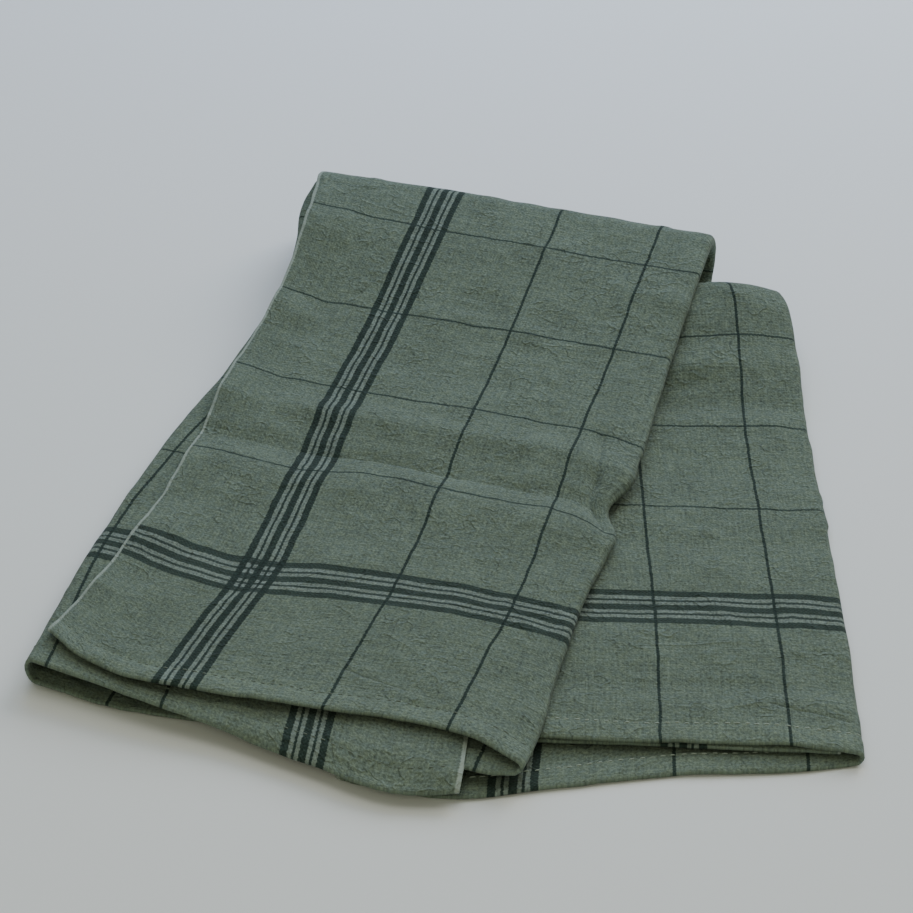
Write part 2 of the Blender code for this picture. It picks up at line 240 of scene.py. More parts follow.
def fold_in_thirds(across, along):
    """Where a point of the cloth lies in the folded strip: sideways, along, and its layer.

    `sideways` runs from the left crease (negative) to the right one, and `layer`
    from 0 on the bed to 1 on the flap.
    """
    right = smooth(CREASES, "right", along)
    left = smooth(CREASES, "left", along)
    middle = 0.5 * (right + left)
    half = 0.5 * (left - right)

    left_puff = smooth(CREASES, "puff", along)
    right_turn = TURN_PER_PUFF * RIGHT_PUFF
    left_turn = TURN_PER_PUFF * left_puff
    at_right = np.clip((across - right) / right_turn, -1.0, 1.0)
    at_left = np.clip((across - left) / left_turn, -1.0, 1.0)
    flap = across - 2 * right + middle
    bed = middle - across
    tuck = across - 2 * left + middle
    round_right = half - right_turn + RIGHT_PUFF * np.cos(0.5 * math.pi * at_right)
    round_left = left_turn - half - left_puff * np.cos(0.5 * math.pi * at_left)
    sideways = np.where(at_right <= -1, flap, np.where(at_right < 1, round_right, bed))
    sideways = np.where(at_left >= 1, tuck, np.where(at_left > -1, round_left, sideways))

    leftness = ease(0.5 - sideways / (2 * half))
    tuck_layer = 0.5 + TUCK_RISE * leftness * (1 - ease((along - TUCK_RISE_END) / TUCK_RISE_END))
    layer = np.where(at_right < 1, 0.5 - 0.5 * np.sin(0.5 * math.pi * at_right), 0.0)
    risen = tuck_layer * (0.5 + 0.5 * np.sin(0.5 * math.pi * at_left))
    layer = layer + np.where(at_left > -1, risen, 0.0)

    from_lower = CLOTH_LENGTH - along
    in_tuck = ease(at_left) * (1 - ease(along / SPREAD_END))
    in_flap = ease(-at_right) * (1 - ease(from_lower / SPREAD_END))
    tuck_spread = TUCK_SPREAD * in_tuck * (sideways + half)
    flap_spread = FLAP_SPREAD * in_flap * (half - sideways)
    sideways = sideways + tuck_spread - flap_spread
    by_crease = np.exp(-((half - sideways) / EDGE_REACH) ** 2)
    on_upper = np.clip(along, 0.0, CREST_ALONG)
    sideways = sideways + smooth(RIGHT_EDGE, "out", on_upper) * by_crease

    edge = np.clip(1 - across / EDGE_ZONE, 0.0, 1.0) ** 2
    sideways = sideways + edge * smooth(UPPER_HALF, "edge_in", on_upper)
    slide = edge * smooth(UPPER_HALF, "edge_back", on_upper)
    slide = slide * (1 - ease((along - CREST_ALONG) / EDGE_FADE))
    slide = slide + smooth(HEM_SLIDE, "upper", across) * (1 - ease(along / HEM_FADE))
    slide = slide + smooth(HEM_SLIDE, "lower", across) * (1 - ease(from_lower / HEM_FADE))
    return sideways, along + slide, layer, half


def folds(table, across, along):
    """The height that a table of soft folds adds."""
    total = 0.0
    for fold in table:
        run_x, run_y = fold.across_to - fold.across_from, fold.along_to - fold.along_from
        length = math.hypot(run_x, run_y)
        from_x, from_y = across - fold.across_from, along - fold.along_from
        down = (from_x * run_x + from_y * run_y) / length
        aside = (from_y * run_x - from_x * run_y) / length
        past = np.maximum(0.0, np.maximum(-down, down - length))
        shape = np.exp(-(2 * aside / fold.width) ** 2 - (past / FOLD_END) ** 2)
        total = total + fold.height * shape
    return total


def across_strip(rows, columns, along, sideways, half):
    """A height that passes through its left, middle and right columns."""
    left, middle, right = (smooth(rows, column, along) for column in columns)
    at = sideways / half
    return middle + 0.5 * at * (right - left) + 0.5 * at * at * (right + left - 2 * middle)


def place(across, along):
    """The middle surface of the folded cloth, in centimetres."""
    sideways, run, layer, half = fold_in_thirds(across, along)
    upper_run = np.minimum(run, CREST_ALONG)
    lower_run = np.maximum(run, FLOOR_ALONG)
    turn = math.pi * np.clip((run - CREST_ALONG) / (FLOOR_ALONG - CREST_ALONG), 0.0, 1.0)

    on_lower = run >= 0.5 * (CREST_ALONG + FLOOR_ALONG)
    centre_x, centre_y, angle = (
        np.where(
            on_lower, smooth(LOWER_HALF, column, lower_run), smooth(UPPER_HALF, column, upper_run)
        )
        for column in ("x", "y", "turn")
    )
    angle = np.radians(angle)
    reach = (BED_REACH + (FLAP_REACH - BED_REACH) * layer) * np.sin(turn)
    x = centre_x + sideways * np.cos(angle) - reach * np.sin(angle)
    y = centre_y + sideways * np.sin(angle) + reach * np.cos(angle)

    top = across_strip(UPPER_HALF, TOPS, upper_run, sideways, half)
    lift = across_strip(UPPER_HALF, LIFTS, upper_run, sideways, half)
    support = FLOOR_LIFT + (STACK_LIFT - FLOOR_LIFT) * ease((x - SAG_START) / SAG_WIDTH + 1)
    droop = DROOP * ease((-run - DROOP_START) / DROOP_LENGTH)
    upper_z = support + lift + (top - support - lift) * layer - droop
    below = across_strip(LOWER_HALF, TOPS, lower_run, sideways, half)
    hump_at = (sideways / half - HUMP_PLACE) / HUMP_WIDTH
    below = below + smooth(LOWER_HALF, "hump", lower_run) * np.exp(-hump_at * hump_at)
    lower_z = below + (0.5 * SOLID_THICK - below) * layer

    height = lower_z + (upper_z - lower_z) * (0.5 + 0.5 * np.cos(turn))
    height = height + folds(MAIN_FOLDS, across, along)
    return np.stack([x, y, height], axis=-1)


# ==== creases and crumple ====
# folds that are finer than the solid's, as soft ridges and troughs on the flat cloth
FINE_FOLDS = (
    # the old crease across the flap, sharper than the solid's, and shallow folds beside it
    Fold(-1.0, 17.2, 17.1, 17.3, 0.08, 3.0),
    Fold(-1.0, 17.3, 17.1, 17.4, 0.14, 1.2),
    Fold(-1.0, 15.1, 17.1, 15.0, -0.09, 0.8),
    Fold(6.5, 24.6, 16.0, 24.3, 0.07, 1.4),
    Fold(6.5, 21.2, 16.0, 21.1, -0.07, 1.2),
    Fold(-1.0, 11.7, 6.0, 11.5, 0.05, 1.1),
    Fold(-1.0, 9.2, 6.0, 9.0, -0.02, 1.1),
    # the upper hem turns up a little
    Fold(-1.0, 0.2, 17.5, 0.2, 0.07, 1.2),
    # the flap's selvedge rises and falls in waves
    Fold(-1.0, 28.6, 1.6, 28.6, 0.16, 2.4),
    Fold(-1.0, 23.4, 1.6, 23.4, 0.16, 2.4),
    Fold(-1.0, 18.2, 1.6, 18.2, 0.12, 2.4),
    Fold(-1.0, 8.8, 1.6, 8.8, 0.16, 2.4),
    Fold(-1.0, 4.2, 1.6, 4.2, 0.14, 2.2),
    Fold(0.0, 24.5, 1.7, 23.9, -0.04, 0.5),
    Fold(1.4, 28.7, 4.0, 27.2, -0.03, 0.5),
    Fold(1.2, 17.5, 1.3, 15.8, -0.03, 0.4),
    Fold(0.7, 12.0, 1.0, 10.8, -0.03, 0.4),
    Fold(1.2, 6.2, 1.5, 1.8, -0.03, 0.4),
    # a trough runs beside the selvedge's waves
    Fold(1.9, 27.2, 2.0, 21.8, -0.14, 1.8),
    Fold(1.9, 20.6, 1.9, 17.2, -0.10, 1.6),
    Fold(2.2, 15.0, 2.2, 12.6, -0.05, 1.6),
    # the dent beside the right crease, where it is pinched
    Fold(15.2, 18.8, 15.7, 16.3, -0.11, 0.5),
    Fold(15.7, 16.3, 16.5, 13.5, -0.11, 0.5),
    Fold(16.1, 18.2, 16.5, 16.2, 0.10, 1.0),
    Fold(14.5, 27.8, 17.0, 27.7, 0.10, 1.0),
    # puckers above the upper hem
    Fold(10.4, 2.1, 12.9, 1.2, 0.06, 0.5),
    Fold(10.6, 1.7, 13.1, 0.8, -0.04, 0.5),
    Fold(11.6, 3.4, 13.9, 1.7, 0.05, 0.6),
    Fold(6.6, 1.5, 8.3, 1.1, 0.05, 0.5),
    Fold(3.0, 1.4, 5.2, 1.0, 0.04, 0.5),
    Fold(13.6, 5.6, 15.2, 4.6, 0.04, 0.6),
    # the lower half: its raised bend, its right edge, and the rises above its hem
    Fold(21.0, 42.5, 20.6, 47.5, 0.34, 3.2),
    Fold(15.0, 47.2, 27.0, 47.0, 0.06, 1.2),
    Fold(15.0, 49.7, 27.0, 49.6, -0.08, 1.0),
    Fold(15.0, 52.0, 27.0, 52.1, 0.04, 1.0),
    Fold(15.0, 54.0, 27.0, 53.9, -0.04, 1.0),
    Fold(15.0, 56.6, 24.0, 56.6, 0.03, 1.0),
    Fold(15.0, 58.4, 24.0, 58.5, -0.04, 1.0),
    Fold(16.6, 64.6, 27.0, 64.5, 0.09, 2.0),
    Fold(16.6, 66.9, 27.0, 67.1, -0.05, 1.2),
    Fold(16.6, 68.4, 27.0, 68.3, 0.05, 1.2),
    Fold(16.6, 69.3, 32.8, 69.3, 0.045, 0.8),
    Fold(17.4, 55.2, 16.2, 55.3, 0.08, 0.5),
    Fold(17.4, 57.4, 16.4, 57.0, 0.08, 0.5),
    Fold(20.2, 68.5, 17.0, 68.4, -0.04, 0.4),
    Fold(20.2, 67.9, 17.0, 67.6, 0.09, 0.8),
    Fold(23.0, 65.5, 19.6, 65.4, 0.04, 0.5),
    Fold(24.0, 64.6, 21.0, 64.7, -0.03, 0.5),
    Fold(22.5, 66.4, 18.5, 66.2, 0.04, 0.5),
)
# a noise's table has this many values each way, and the cloth is read from here on
NOISE_CELLS = 256
NOISE_START = (40.0, 60.0)
# crumple: how high it stands, each size of bump with its share, and the cosine and sine of
# the angle that it is turned by
CRUMPLE = 0.042
CRUMPLE_SIZES = ((2.6, 0.9), (1.3, 0.8), (0.7, 0.5))
CRUMPLE_TURN = (0.8, 0.6)
CRUMPLE_SEED = 7
# the share of the crumple that is left where a layer is pressed under others, and how far
# across the flap and the bed reach as top layers
PRESSED = 0.35
FLAP_END = 16.0
BED_END = 33.0
LAYER_FADE = 2.0
# thin sharp creases, as ridges where a noise crosses zero.  They bend, are drawn out across,
# and come in patches
CREASE_HEIGHT = 0.055
CREASE_SIZE = 1.9
CREASE_WIDTH = 0.13
CREASE_DRAWN = 0.6
CREASE_BEND = 0.5
CREASE_BEND_SIZE = 1.1
CREASE_PATCH_SIZE = 3.7
CREASE_SEED = 17
# how far edges and creases wander sideways: each size of bend with its reach
WANDER = ((2.4, 0.022), (0.8, 0.018))
WANDER_SEED = 31
# the left crease is hidden under the flap's edge for a stretch, and shows at the crest
Shift = namedtuple("Shift", "along right")
LEFT_CREASE = (
    Shift(0.0, 0.00),
    Shift(16.0, 0.00),
    Shift(20.0, 0.30),
    Shift(25.0, 0.42),
    Shift(28.5, 0.25),
    Shift(30.5, -0.05),
    Shift(32.0, 0.10),
    Shift(33.5, 0.26),
    Shift(35.2, 0.00),
)
CREASE_REACH = 2.2
# how far past the crest the table of the left crease is read
CREASE_PAST_CREST = 3.0
# beside the pinch the flap's edge rolls down, and is drawn forward
Roll = namedtuple("Roll", "along drop ahead right")
EDGE_ROLL = (
    Roll(10.0, 0.00, 0.00, 0.00),
    Roll(12.0, 0.05, 0.30, 0.00),
    Roll(13.8, 0.08, 0.75, 0.00),
    Roll(16.0, 0.08, 0.70, -0.18),
    Roll(17.5, 0.09, 0.60, -0.24),
    Roll(19.1, 0.10, 0.42, -0.18),
    Roll(22.0, 0.00, 0.00, 0.00),
)
ROLL_REACH = 1.3
# the flap is pulled ahead or back a little, so that its lines are not straight
Pull = namedtuple("Pull", "across along reach ahead up")
PULLS = (
    Pull(4.8, 7.4, 3.0, 0.66, 0.00),
    Pull(0.0, 7.2, 1.6, -0.20, 0.06),
    Pull(4.6, 13.8, 1.5, 0.35, 0.00),
    Pull(8.2, 13.9, 1.6, -0.28, 0.00),
)
# the hems: a groove at their stitches, and small ripples along them
GROOVE_DEPTH = 0.022
GROOVE_WIDTH = 0.13
RIPPLE = 0.05
RIPPLE_SIZE = 0.55
RIPPLE_REACH = 1.1
# how far apart in the noise the two hems are read
RIPPLE_APART = 3.0
RIPPLE_SEED = 40
# heights fade where the cloth stands upright in a turn, the sooner the smaller this is
UPRIGHT_FADE = 4.0
LOWEST = 0.5 * CLOTH_THICK + 0.01
SLOPE_STEP = 0.05


def noise(across, along, size, seed):
    """Smooth bumps between -1 and 1, about `size` centimetres apart."""
    table = np.random.default_rng(seed).uniform(-1.0, 1.0, (NOISE_CELLS, NOISE_CELLS))
    column, row = across / size, along / size
    left, low = np.floor(column).astype(int), np.floor(row).astype(int)
    part_x, part_y = ease(column - left), ease(row - low)
    values = 0.0
    for step_x, weight_x in ((0, 1 - part_x), (1, part_x)):
        for step_y, weight_y in ((0, 1 - part_y), (1, part_y)):
            corner = table[(left + step_x) % NOISE_CELLS, (low + step_y) % NOISE_CELLS]
            values = values + corner * weight_x * weight_y
    return values


def looseness(across, along):
    """1 where a layer lies on top, and less where it is pressed under others."""
    on_flap = 1 - ease((across - FLAP_END) / LAYER_FADE)
    on_bed = (1 - on_flap) * (1 - ease((across - BED_END) / LAYER_FADE))
    in_lower = ease((along - CREST_ALONG) / (FLOOR_ALONG - CREST_ALONG))
    on_top = on_flap * (1 - in_lower) + on_bed * in_lower
    return PRESSED + (1 - PRESSED) * on_top


def crumple(across, along):
    """The uneven surface of washed linen, in centimetres."""
    cosine, sine = CRUMPLE_TURN
    turned_x = cosine * across + sine * along + NOISE_START[0]
    turned_y = cosine * along - sine * across + NOISE_START[1]
    total = 0.0
    for number, (size, share) in enumerate(CRUMPLE_SIZES):
        total = total + share * noise(turned_x, turned_y, size, CRUMPLE_SEED + number)
    bend = CREASE_BEND * noise(turned_x, turned_y, CREASE_BEND_SIZE, CREASE_SEED + 1)
    drawn = CREASE_DRAWN * (turned_y + bend)
    crossing = noise(turned_x, drawn, CREASE_SIZE, CREASE_SEED) / CREASE_WIDTH
    patches = ease(0.5 + noise(turned_x, turned_y, CREASE_PATCH_SIZE, CREASE_SEED + 2))
    sharp = CREASE_HEIGHT * patches * np.exp(-crossing * crossing)
    return (CRUMPLE * total + sharp) * looseness(across, along)


def hem_shape(across, along):
    """The groove at each hem's stitches, and its ripples, in centimetres."""
    from_hem = np.minimum(along, CLOTH_LENGTH - along)
    off_stitches = (from_hem - STITCH_DEPTH) / GROOVE_WIDTH
    at_hem = RIPPLE_APART * np.round(along / CLOTH_LENGTH)
    ripple = 0.5 + 0.5 * noise(across, at_hem, RIPPLE_SIZE, RIPPLE_SEED)
    fading = np.exp(-(from_hem / RIPPLE_REACH) ** 2)
    return RIPPLE * ripple * fading - GROOVE_DEPTH * np.exp(-off_stitches * off_stitches)


def wander(across, along, seed):
    """A slight sideways shift that differs from place to place."""
    x, y = across + NOISE_START[0], along + NOISE_START[1]
    total = 0.0
    for number, (size, reach) in enumerate(WANDER):
        total = total + reach * noise(x, y, size, seed + number)
    return total


def crease_shift(across, along):
    """How far the bed and the tuck move right, beside the left crease of the upper half."""
    by_crease = np.exp(-((across - smooth(CREASES, "left", along)) / CREASE_REACH) ** 2)
    at = np.clip(along, 0.0, CREST_ALONG + CREASE_PAST_CREST)
    return smooth(LEFT_CREASE, "right", at) * by_crease


def edge_roll(across, along):
    """How far the flap's edge moves beside the pinch: right, ahead and down."""
    by_crease = np.exp(-((across - smooth(CREASES, "right", along)) / ROLL_REACH) ** 2)
    at = np.clip(along, EDGE_ROLL[0].along, EDGE_ROLL[-1].along)
    right, ahead, drop = (smooth(EDGE_ROLL, column, at) for column in ("right", "ahead", "drop"))
    return np.stack([right, -ahead, -drop], axis=-1) * by_crease[..., None]


def pulls(across, along):
    """How far the cloth is drawn ahead and lifted, around the points of the table."""
    moved = np.zeros(across.shape + (3,))
    for pull in PULLS:
        near = np.exp(-((across - pull.across) ** 2 + (along - pull.along) ** 2) / pull.reach ** 2)
        moved[..., 1] -= pull.ahead * near
        moved[..., 2] += pull.up * near
    return moved


def unit(vectors):
    return vectors / np.linalg.norm(vectors, axis=-1, keepdims=True)


def creased(across, along):
    """The middle surface with its creases, its crumple and its wandering edges."""
    middle = place(across, along)
    by_across = place(across + SLOPE_STEP, along) - place(across - SLOPE_STEP, along)
    by_along = place(across, along + SLOPE_STEP) - place(across, along - SLOPE_STEP)
    normals = unit(np.cross(by_across, by_along))
    # heights go upwards on either side of a turn, and fade to nothing at the turn itself
    upward = normals * np.tanh(UPRIGHT_FADE * normals[..., 2:])
    height = folds(FINE_FOLDS, across, along) + crumple(across, along) + hem_shape(across, along)
    middle = middle + upward * height[..., None] + edge_roll(across, along) + pulls(across, along)
    middle[..., 0] += wander(across, along, WANDER_SEED) + crease_shift(across, along)
    middle[..., 1] += wander(across, along, WANDER_SEED + 4)
    middle[..., 2] = np.maximum(middle[..., 2], LOWEST)
    return middle


def surface(across, along):
    """The creased middle surface and its unit normals, at any points of the cloth."""
    by_across = creased(across + SLOPE_STEP, along) - creased(across - SLOPE_STEP, along)
    by_along = creased(across, along + SLOPE_STEP) - creased(across, along - SLOPE_STEP)
    return creased(across, along), unit(np.cross(by_across, by_along))


# ==== the sheet ====
Stretch = namedtuple("Stretch", "start end cells")
# cells across the flap, the bed and the tuck, and round each crease
PANEL_CELLS = (72, 62, 30)
TURN_CELLS = 8
# how far the rim bulges, as a share of the cloth's thickness
RIM_BULGE = 0.35
# rows are close together across each hem's groove
GROOVE_START = 0.7
GROOVE_END = 1.15
STRETCHES = (
    Stretch(0.0, GROOVE_START, 4),
    Stretch(GROOVE_START, GROOVE_END, 6),
    Stretch(GROOVE_END, CREST_ALONG, 120),
    Stretch(CREST_ALONG, FLOOR_ALONG, 20),
    Stretch(FLOOR_ALONG, CLOTH_LENGTH - GROOVE_END, 104),
    Stretch(CLOTH_LENGTH - GROOVE_END, CLOTH_LENGTH - GROOVE_START, 6),
    Stretch(CLOTH_LENGTH - GROOVE_START, CLOTH_LENGTH, 4),
)


def steps(start, end, cells):
    """The ends of equal cells, without the last one."""
    return np.linspace(start, end, cells, endpoint=False)


def cloth_grid():
    """The flat cloth's grid: two arrays, across and along, a row for each length."""
    along = np.concatenate([steps(*stretch) for stretch in STRETCHES] + [[CLOTH_LENGTH]])
    right = smooth(CREASES, "right", along)
    left = smooth(CREASES, "left", along)
    right_turn = TURN_PER_PUFF * RIGHT_PUFF
    left_turn = TURN_PER_PUFF * smooth(CREASES, "puff", along)
    rows = []
    for right_at, left_at, turn_at in zip(right, left, left_turn):
        rows.append(np.concatenate([
            steps(0.0, right_at - right_turn, PANEL_CELLS[0]),
            steps(right_at - right_turn, right_at + right_turn, TURN_CELLS),
            steps(right_at + right_turn, left_at - turn_at, PANEL_CELLS[1]),
            steps(left_at - turn_at, left_at + turn_at, TURN_CELLS),
            steps(left_at + turn_at, CLOTH_WIDTH, PANEL_CELLS[2]),
            [CLOTH_WIDTH],
        ]))
    across = np.array(rows)
    return across, np.broadcast_to(along[:, None], across.shape)


def table_to_frame(across, along):
    """The shift, in centimetres, from the table's frame to the solid's."""
    middle = place(across, along)
    lowest, highest = middle.reshape(-1, 3).min(axis=0), middle.reshape(-1, 3).max(axis=0)
    centre = 0.5 * (lowest + highest)
    low, high = np.array(CAD_BOX[0]) / CM, np.array(CAD_BOX[1]) / CM
    box_centre = 0.5 * (low + high)
    return np.array([box_centre[0] - centre[0], box_centre[1] - centre[1], 0.0])


def sheet_mesh(across, along, shift):
    """The closed sheet: its face, its back, and a rounded rim between them."""
    middle, normals = surface(across, along)
    from_hem = np.minimum(along, CLOTH_LENGTH - along)
    face_depth = 0.5 * CLOTH_THICK
    back_depth = np.where(from_hem <= HEM_DEPTH, HEM_THICK - face_depth, face_depth)[..., None]
    face = middle + normals * face_depth
    back = middle - normals * back_depth
    back[..., 2] = np.maximum(back[..., 2], 0.0)
    face[..., 2] = np.maximum(face[..., 2], 0.0)

    rows, columns = across.shape
    index = np.arange(rows * columns).reshape(rows, columns)
    a, b = index[:-1, :-1].ravel(), index[:-1, 1:].ravel()
    c, d = index[1:, 1:].ravel(), index[1:, :-1].ravel()
    behind = rows * columns
    face_quads = np.stack([a, b, c, d], axis=1)
    back_quads = np.stack([d, c, b, a], axis=1) + behind

    edge = np.concatenate([index[0, :-1], index[:-1, -1], index[-1, :0:-1], index[:0:-1, 0]])
    lips = np.arange(len(edge)) + 2 * behind
    flat_middle = 0.5 * (face + back).reshape(-1, 3)
    inner = np.concatenate([index[1, :-1], index[:-1, -2], index[-2, :0:-1], index[:0:-1, 1]])
    outward = unit(flat_middle[edge] - flat_middle[inner])
    depth = (face_depth + back_depth).ravel()[edge]
    lip_points = flat_middle[edge] + outward * RIM_BULGE * depth[:, None]
    following, next_lips = np.roll(edge, -1), np.roll(lips, -1)
    rim_quads = np.concatenate([
        np.stack([following, edge, lips, next_lips], axis=1),
        np.stack([next_lips, lips, edge + behind, following + behind], axis=1),
    ])

    points = (np.concatenate([face.reshape(-1, 3), back.reshape(-1, 3), lip_points]) + shift) * CM
    quads = np.concatenate([face_quads, back_quads, rim_quads])
    mesh = bpy.data.meshes.new("cloth")
    mesh.from_pydata(points.tolist(), [], quads.tolist())
    flat = np.stack([across.ravel(), along.ravel()], axis=1) * CM
    flat = np.concatenate([flat, flat, flat[edge]])
    layer = mesh.uv_layers.new(name="flat")
    layer.uv.foreach_set("vector", flat[quads.ravel()].astype(np.float32).ravel())
    mesh.validate()
    mesh.shade_smooth()
    return mesh


# ==== stitches ====
STITCH_PITCH = 0.33
STITCH_LENGTH = 0.22
STITCH_RADIUS = 0.024
STITCH_SIDES = 6
STITCH_RINGS = 5
STITCH_SEED = 11
# where a row starts, and the cloth that both its ends leave free
ROW_START = 0.4
ROW_MARGINS = 0.6
# how uneven the dashes are: along their row, beside it, and in length
STITCH_SHIFT = 0.03
STITCH_ASIDE = 0.02
LENGTH_SHARES = (0.85, 1.1)
# how high a dash's axis stands at its middle, and how far its ends dip from there, in radii
DASH_RISE = 0.4
DASH_DIP = 1.2
# a dash narrows like a ball to its ends, which stay a little blunt
DASH_BLUNT = 1.05


def stitch_row(along_at, face_side, shift):
    """One row of thread dashes: vertices and quads, `face_side` 1 on the face and -1 behind."""
    dice = np.random.default_rng(STITCH_SEED + int(along_at) + (face_side > 0))
    count = int((CLOTH_WIDTH - ROW_MARGINS) / STITCH_PITCH)
    centre = ROW_START + STITCH_PITCH * (np.arange(count) + 0.5)
    centre = centre + dice.uniform(-STITCH_SHIFT, STITCH_SHIFT, count)
    length = STITCH_LENGTH * dice.uniform(*LENGTH_SHARES, count)
    aside = dice.uniform(-STITCH_ASIDE, STITCH_ASIDE, count)
    ring = np.linspace(-1.0, 1.0, STITCH_RINGS)
    round_at = np.arange(STITCH_SIDES) * 2 * math.pi / STITCH_SIDES
    across = centre[:, None] + 0.5 * length[:, None] * ring
    along = along_at + aside[:, None] + 0.0 * across
    middle, normals = surface(across, along)
    sideways = unit(surface(across, along + SLOPE_STEP)[0] - middle)
    depth = 0.5 * CLOTH_THICK if face_side > 0 else HEM_THICK - 0.5 * CLOTH_THICK
    # each dash dips into the cloth at its ends
    rise = depth + STITCH_RADIUS * (DASH_RISE - DASH_DIP * np.abs(ring) ** 3)
    axis = middle + normals * (face_side * rise)[None, :, None]
    # none is sewn where the hem lies on the floor
    kept = (axis[..., 2] > 2 * STITCH_RADIUS).all(axis=1)
    axis, sideways, normals = axis[kept], sideways[kept], normals[kept]
    radius = STITCH_RADIUS * np.sqrt(DASH_BLUNT - ring ** 2)
    circle = (
        np.cos(round_at)[:, None] * sideways[:, :, None, :]
        + np.sin(round_at)[:, None] * normals[:, :, None, :]
    )
    points = axis[:, :, None, :] + radius[None, :, None, None] * circle
    quads = []
    for stitch in range(len(axis)):
        for at_ring in range(STITCH_RINGS - 1):
            first = (stitch * STITCH_RINGS + at_ring) * STITCH_SIDES
            for side in range(STITCH_SIDES):
                a, b = first + side, first + (side + 1) % STITCH_SIDES
                quads.append((a, b, b + STITCH_SIDES, a + STITCH_SIDES))
    caps = []
    for stitch in range(len(axis)):
        first = stitch * STITCH_RINGS * STITCH_SIDES
        last = first + (STITCH_RINGS - 1) * STITCH_SIDES
        caps.append([first + side for side in reversed(range(STITCH_SIDES))])
        caps.append([last + side for side in range(STITCH_SIDES)])
    return (points.reshape(-1, 3) + shift) * CM, quads + caps


def stitches(name, along_at, shift):
    """One hem's rows of thread, on the face and on the back, as one mesh."""
    points, faces = [], []
    for face_side in (1, -1):
        row_points, row_faces = stitch_row(along_at, face_side, shift)
        faces += [[corner + len(points) for corner in face] for face in row_faces]
        points += row_points.tolist()
    mesh = bpy.data.meshes.new(name)
    mesh.from_pydata(points, [], faces)
    mesh.validate()
    mesh.shade_smooth()
    return mesh


# ==== materials ====
# one direction's dark lines and its band, in centimetres from the cloth's middle
Pattern = namedtuple("Pattern", "lines line_width band band_half")
WARP = Pattern((2.12, 6.36, 10.60, 14.84), line_width=0.11, band=19.86, band_half=0.775)
WEFT = Pattern((0.0, 5.30, 10.60, 15.90, 21.20), line_width=0.10, band=27.50, band_half=1.0)
# a band's dark stripes and its light stretch, from its middle outwards, as shares of its
# half width
DARK_STRIPES = ((-1.0, 0.17), (0.35, 0.47), (0.67, 1.0))
LIGHT_STRETCH = (0.17, 0.67)
# how soft the edges are, in centimetres for a line and as a share for a stripe
LINE_SOFT = 0.015
STRIPE_SOFT = 0.02
THREAD_PITCH = 0.075

BASE_COOL = (0.105, 0.139, 0.113, 1.0)
BASE_WARM = (0.121, 0.155, 0.114, 1.0)
DARK_COLOUR = (0.015, 0.028, 0.023, 1.0)
LIGHT_COLOUR = (0.185, 0.222, 0.210, 1.0)
SELVEDGE_COLOUR = (0.31, 0.365, 0.315, 1.0)
UPPER_THREAD = ((0.10, 0.13, 0.105, 1.0), (0.15, 0.19, 0.155, 1.0))
LOWER_THREAD = ((0.22, 0.27, 0.225, 1.0), (0.36, 0.42, 0.36, 1.0))
FLOOR_COLOUR = (0.74, 0.76, 0.75, 1.0)
# the values of the hue's noise that are all cool and all warm
HUE_RANGE = (0.3, 0.7)
# how much of a stripe its dark threads cover, and how far the weave and the grain break it
WARP_COVER = 0.95
WEFT_COVER = 0.86
BREAKS = 0.12
GRAIN_BREAKS = 0.30
# how much light thread shows in a band
WARP_LIGHT = 0.35
WEFT_LIGHT = 0.40
# how much each thing changes the tone
MOTTLE_TONE = 0.20
GRAIN_TONE = 1.25
SLUB_TONE = 0.30
WEAVE_TONE = 0.04
# the hems, two layers thick and raised, are painted a little paler as a painted highlight for the
# light that their folds catch, up to a soft edge round their depth
HEM_PAINTED_HIGHLIGHT = 0.13
HEM_HIGHLIGHT_EDGE = (-0.2, 0.5)
# how far from the selvedge its pale threads reach, their soft edge, and how much they cover
SELVEDGE_WIDTH = 0.11
SELVEDGE_EDGE = (-0.04, 0.02)
SELVEDGE_COVER = 0.85
# the height of each thing in the relief, in centimetres
WEAVE_RELIEF = 0.003
GRAIN_RELIEF = 0.04
SLUB_RELIEF = 0.03
CREASE_RELIEF = 0.12
RELIEF_STRENGTH = 0.8
CLOTH_ROUGHNESS = 0.92
CLOTH_SPECULAR = 0.12
CLOTH_SHEEN = 0.05
SHEEN_ROUGHNESS = 0.5
THREAD_ROUGHNESS = 0.8
FLOOR_ROUGHNESS = 0.9

# noises on the flat cloth.  shift: sets one apart from another; across, along: how much
# closer together its bumps are in that direction
Noise = namedtuple(
    "Noise", "shift scale across along detail roughness kind", defaults=(1.0, 1.0, 2.0, 0.5, "FBM")
)
BEND_ACROSS = Noise(0.0, 0.9, across=0.25)
BEND_ALONG = Noise(5.0, 0.9, along=0.25)
SHAKE_ACROSS = Noise(9.0, 1.0, across=2.0, along=12.0)
SHAKE_ALONG = Noise(9.0, 1.0, across=12.0, along=2.0)
WARP_SLUB = Noise(0.0, 1.0, across=12.0, along=0.7)
WEFT_SLUB = Noise(3.0, 1.0, across=0.7, along=12.0)
MOTTLE = Noise(2.0, 0.5)
GRAIN = Noise(4.0, 10.0, detail=3.0, roughness=0.7)
HUE = Noise(6.0, 4.0, detail=1.0)
CREASE = Noise(7.0, 1.3, detail=3.0, roughness=0.62, kind="RIDGED_MULTIFRACTAL")
CRINKLE = Noise(11.0, 1.4, detail=1.5)
CRINKLE_PATCHES = Noise(13.0, 0.8)
# the twist of the sewing thread, on the thread itself
TWIST = Noise(0.0, 1500.0)
# how far the threads bend and shake sideways, in centimetres
BEND_ACROSS_REACH = 0.035
BEND_ALONG_REACH = 0.05
SHAKE_REACH = 0.045
# the crinkle: its ridges' height, how near the noise's middle value they end, and the
# values of the patches' noise between which they grow
CRINKLE_HEIGHT = 0.05
CRINKLE_WIDTH = 0.035
CRINKLE_RANGE = (0.46, 0.62)

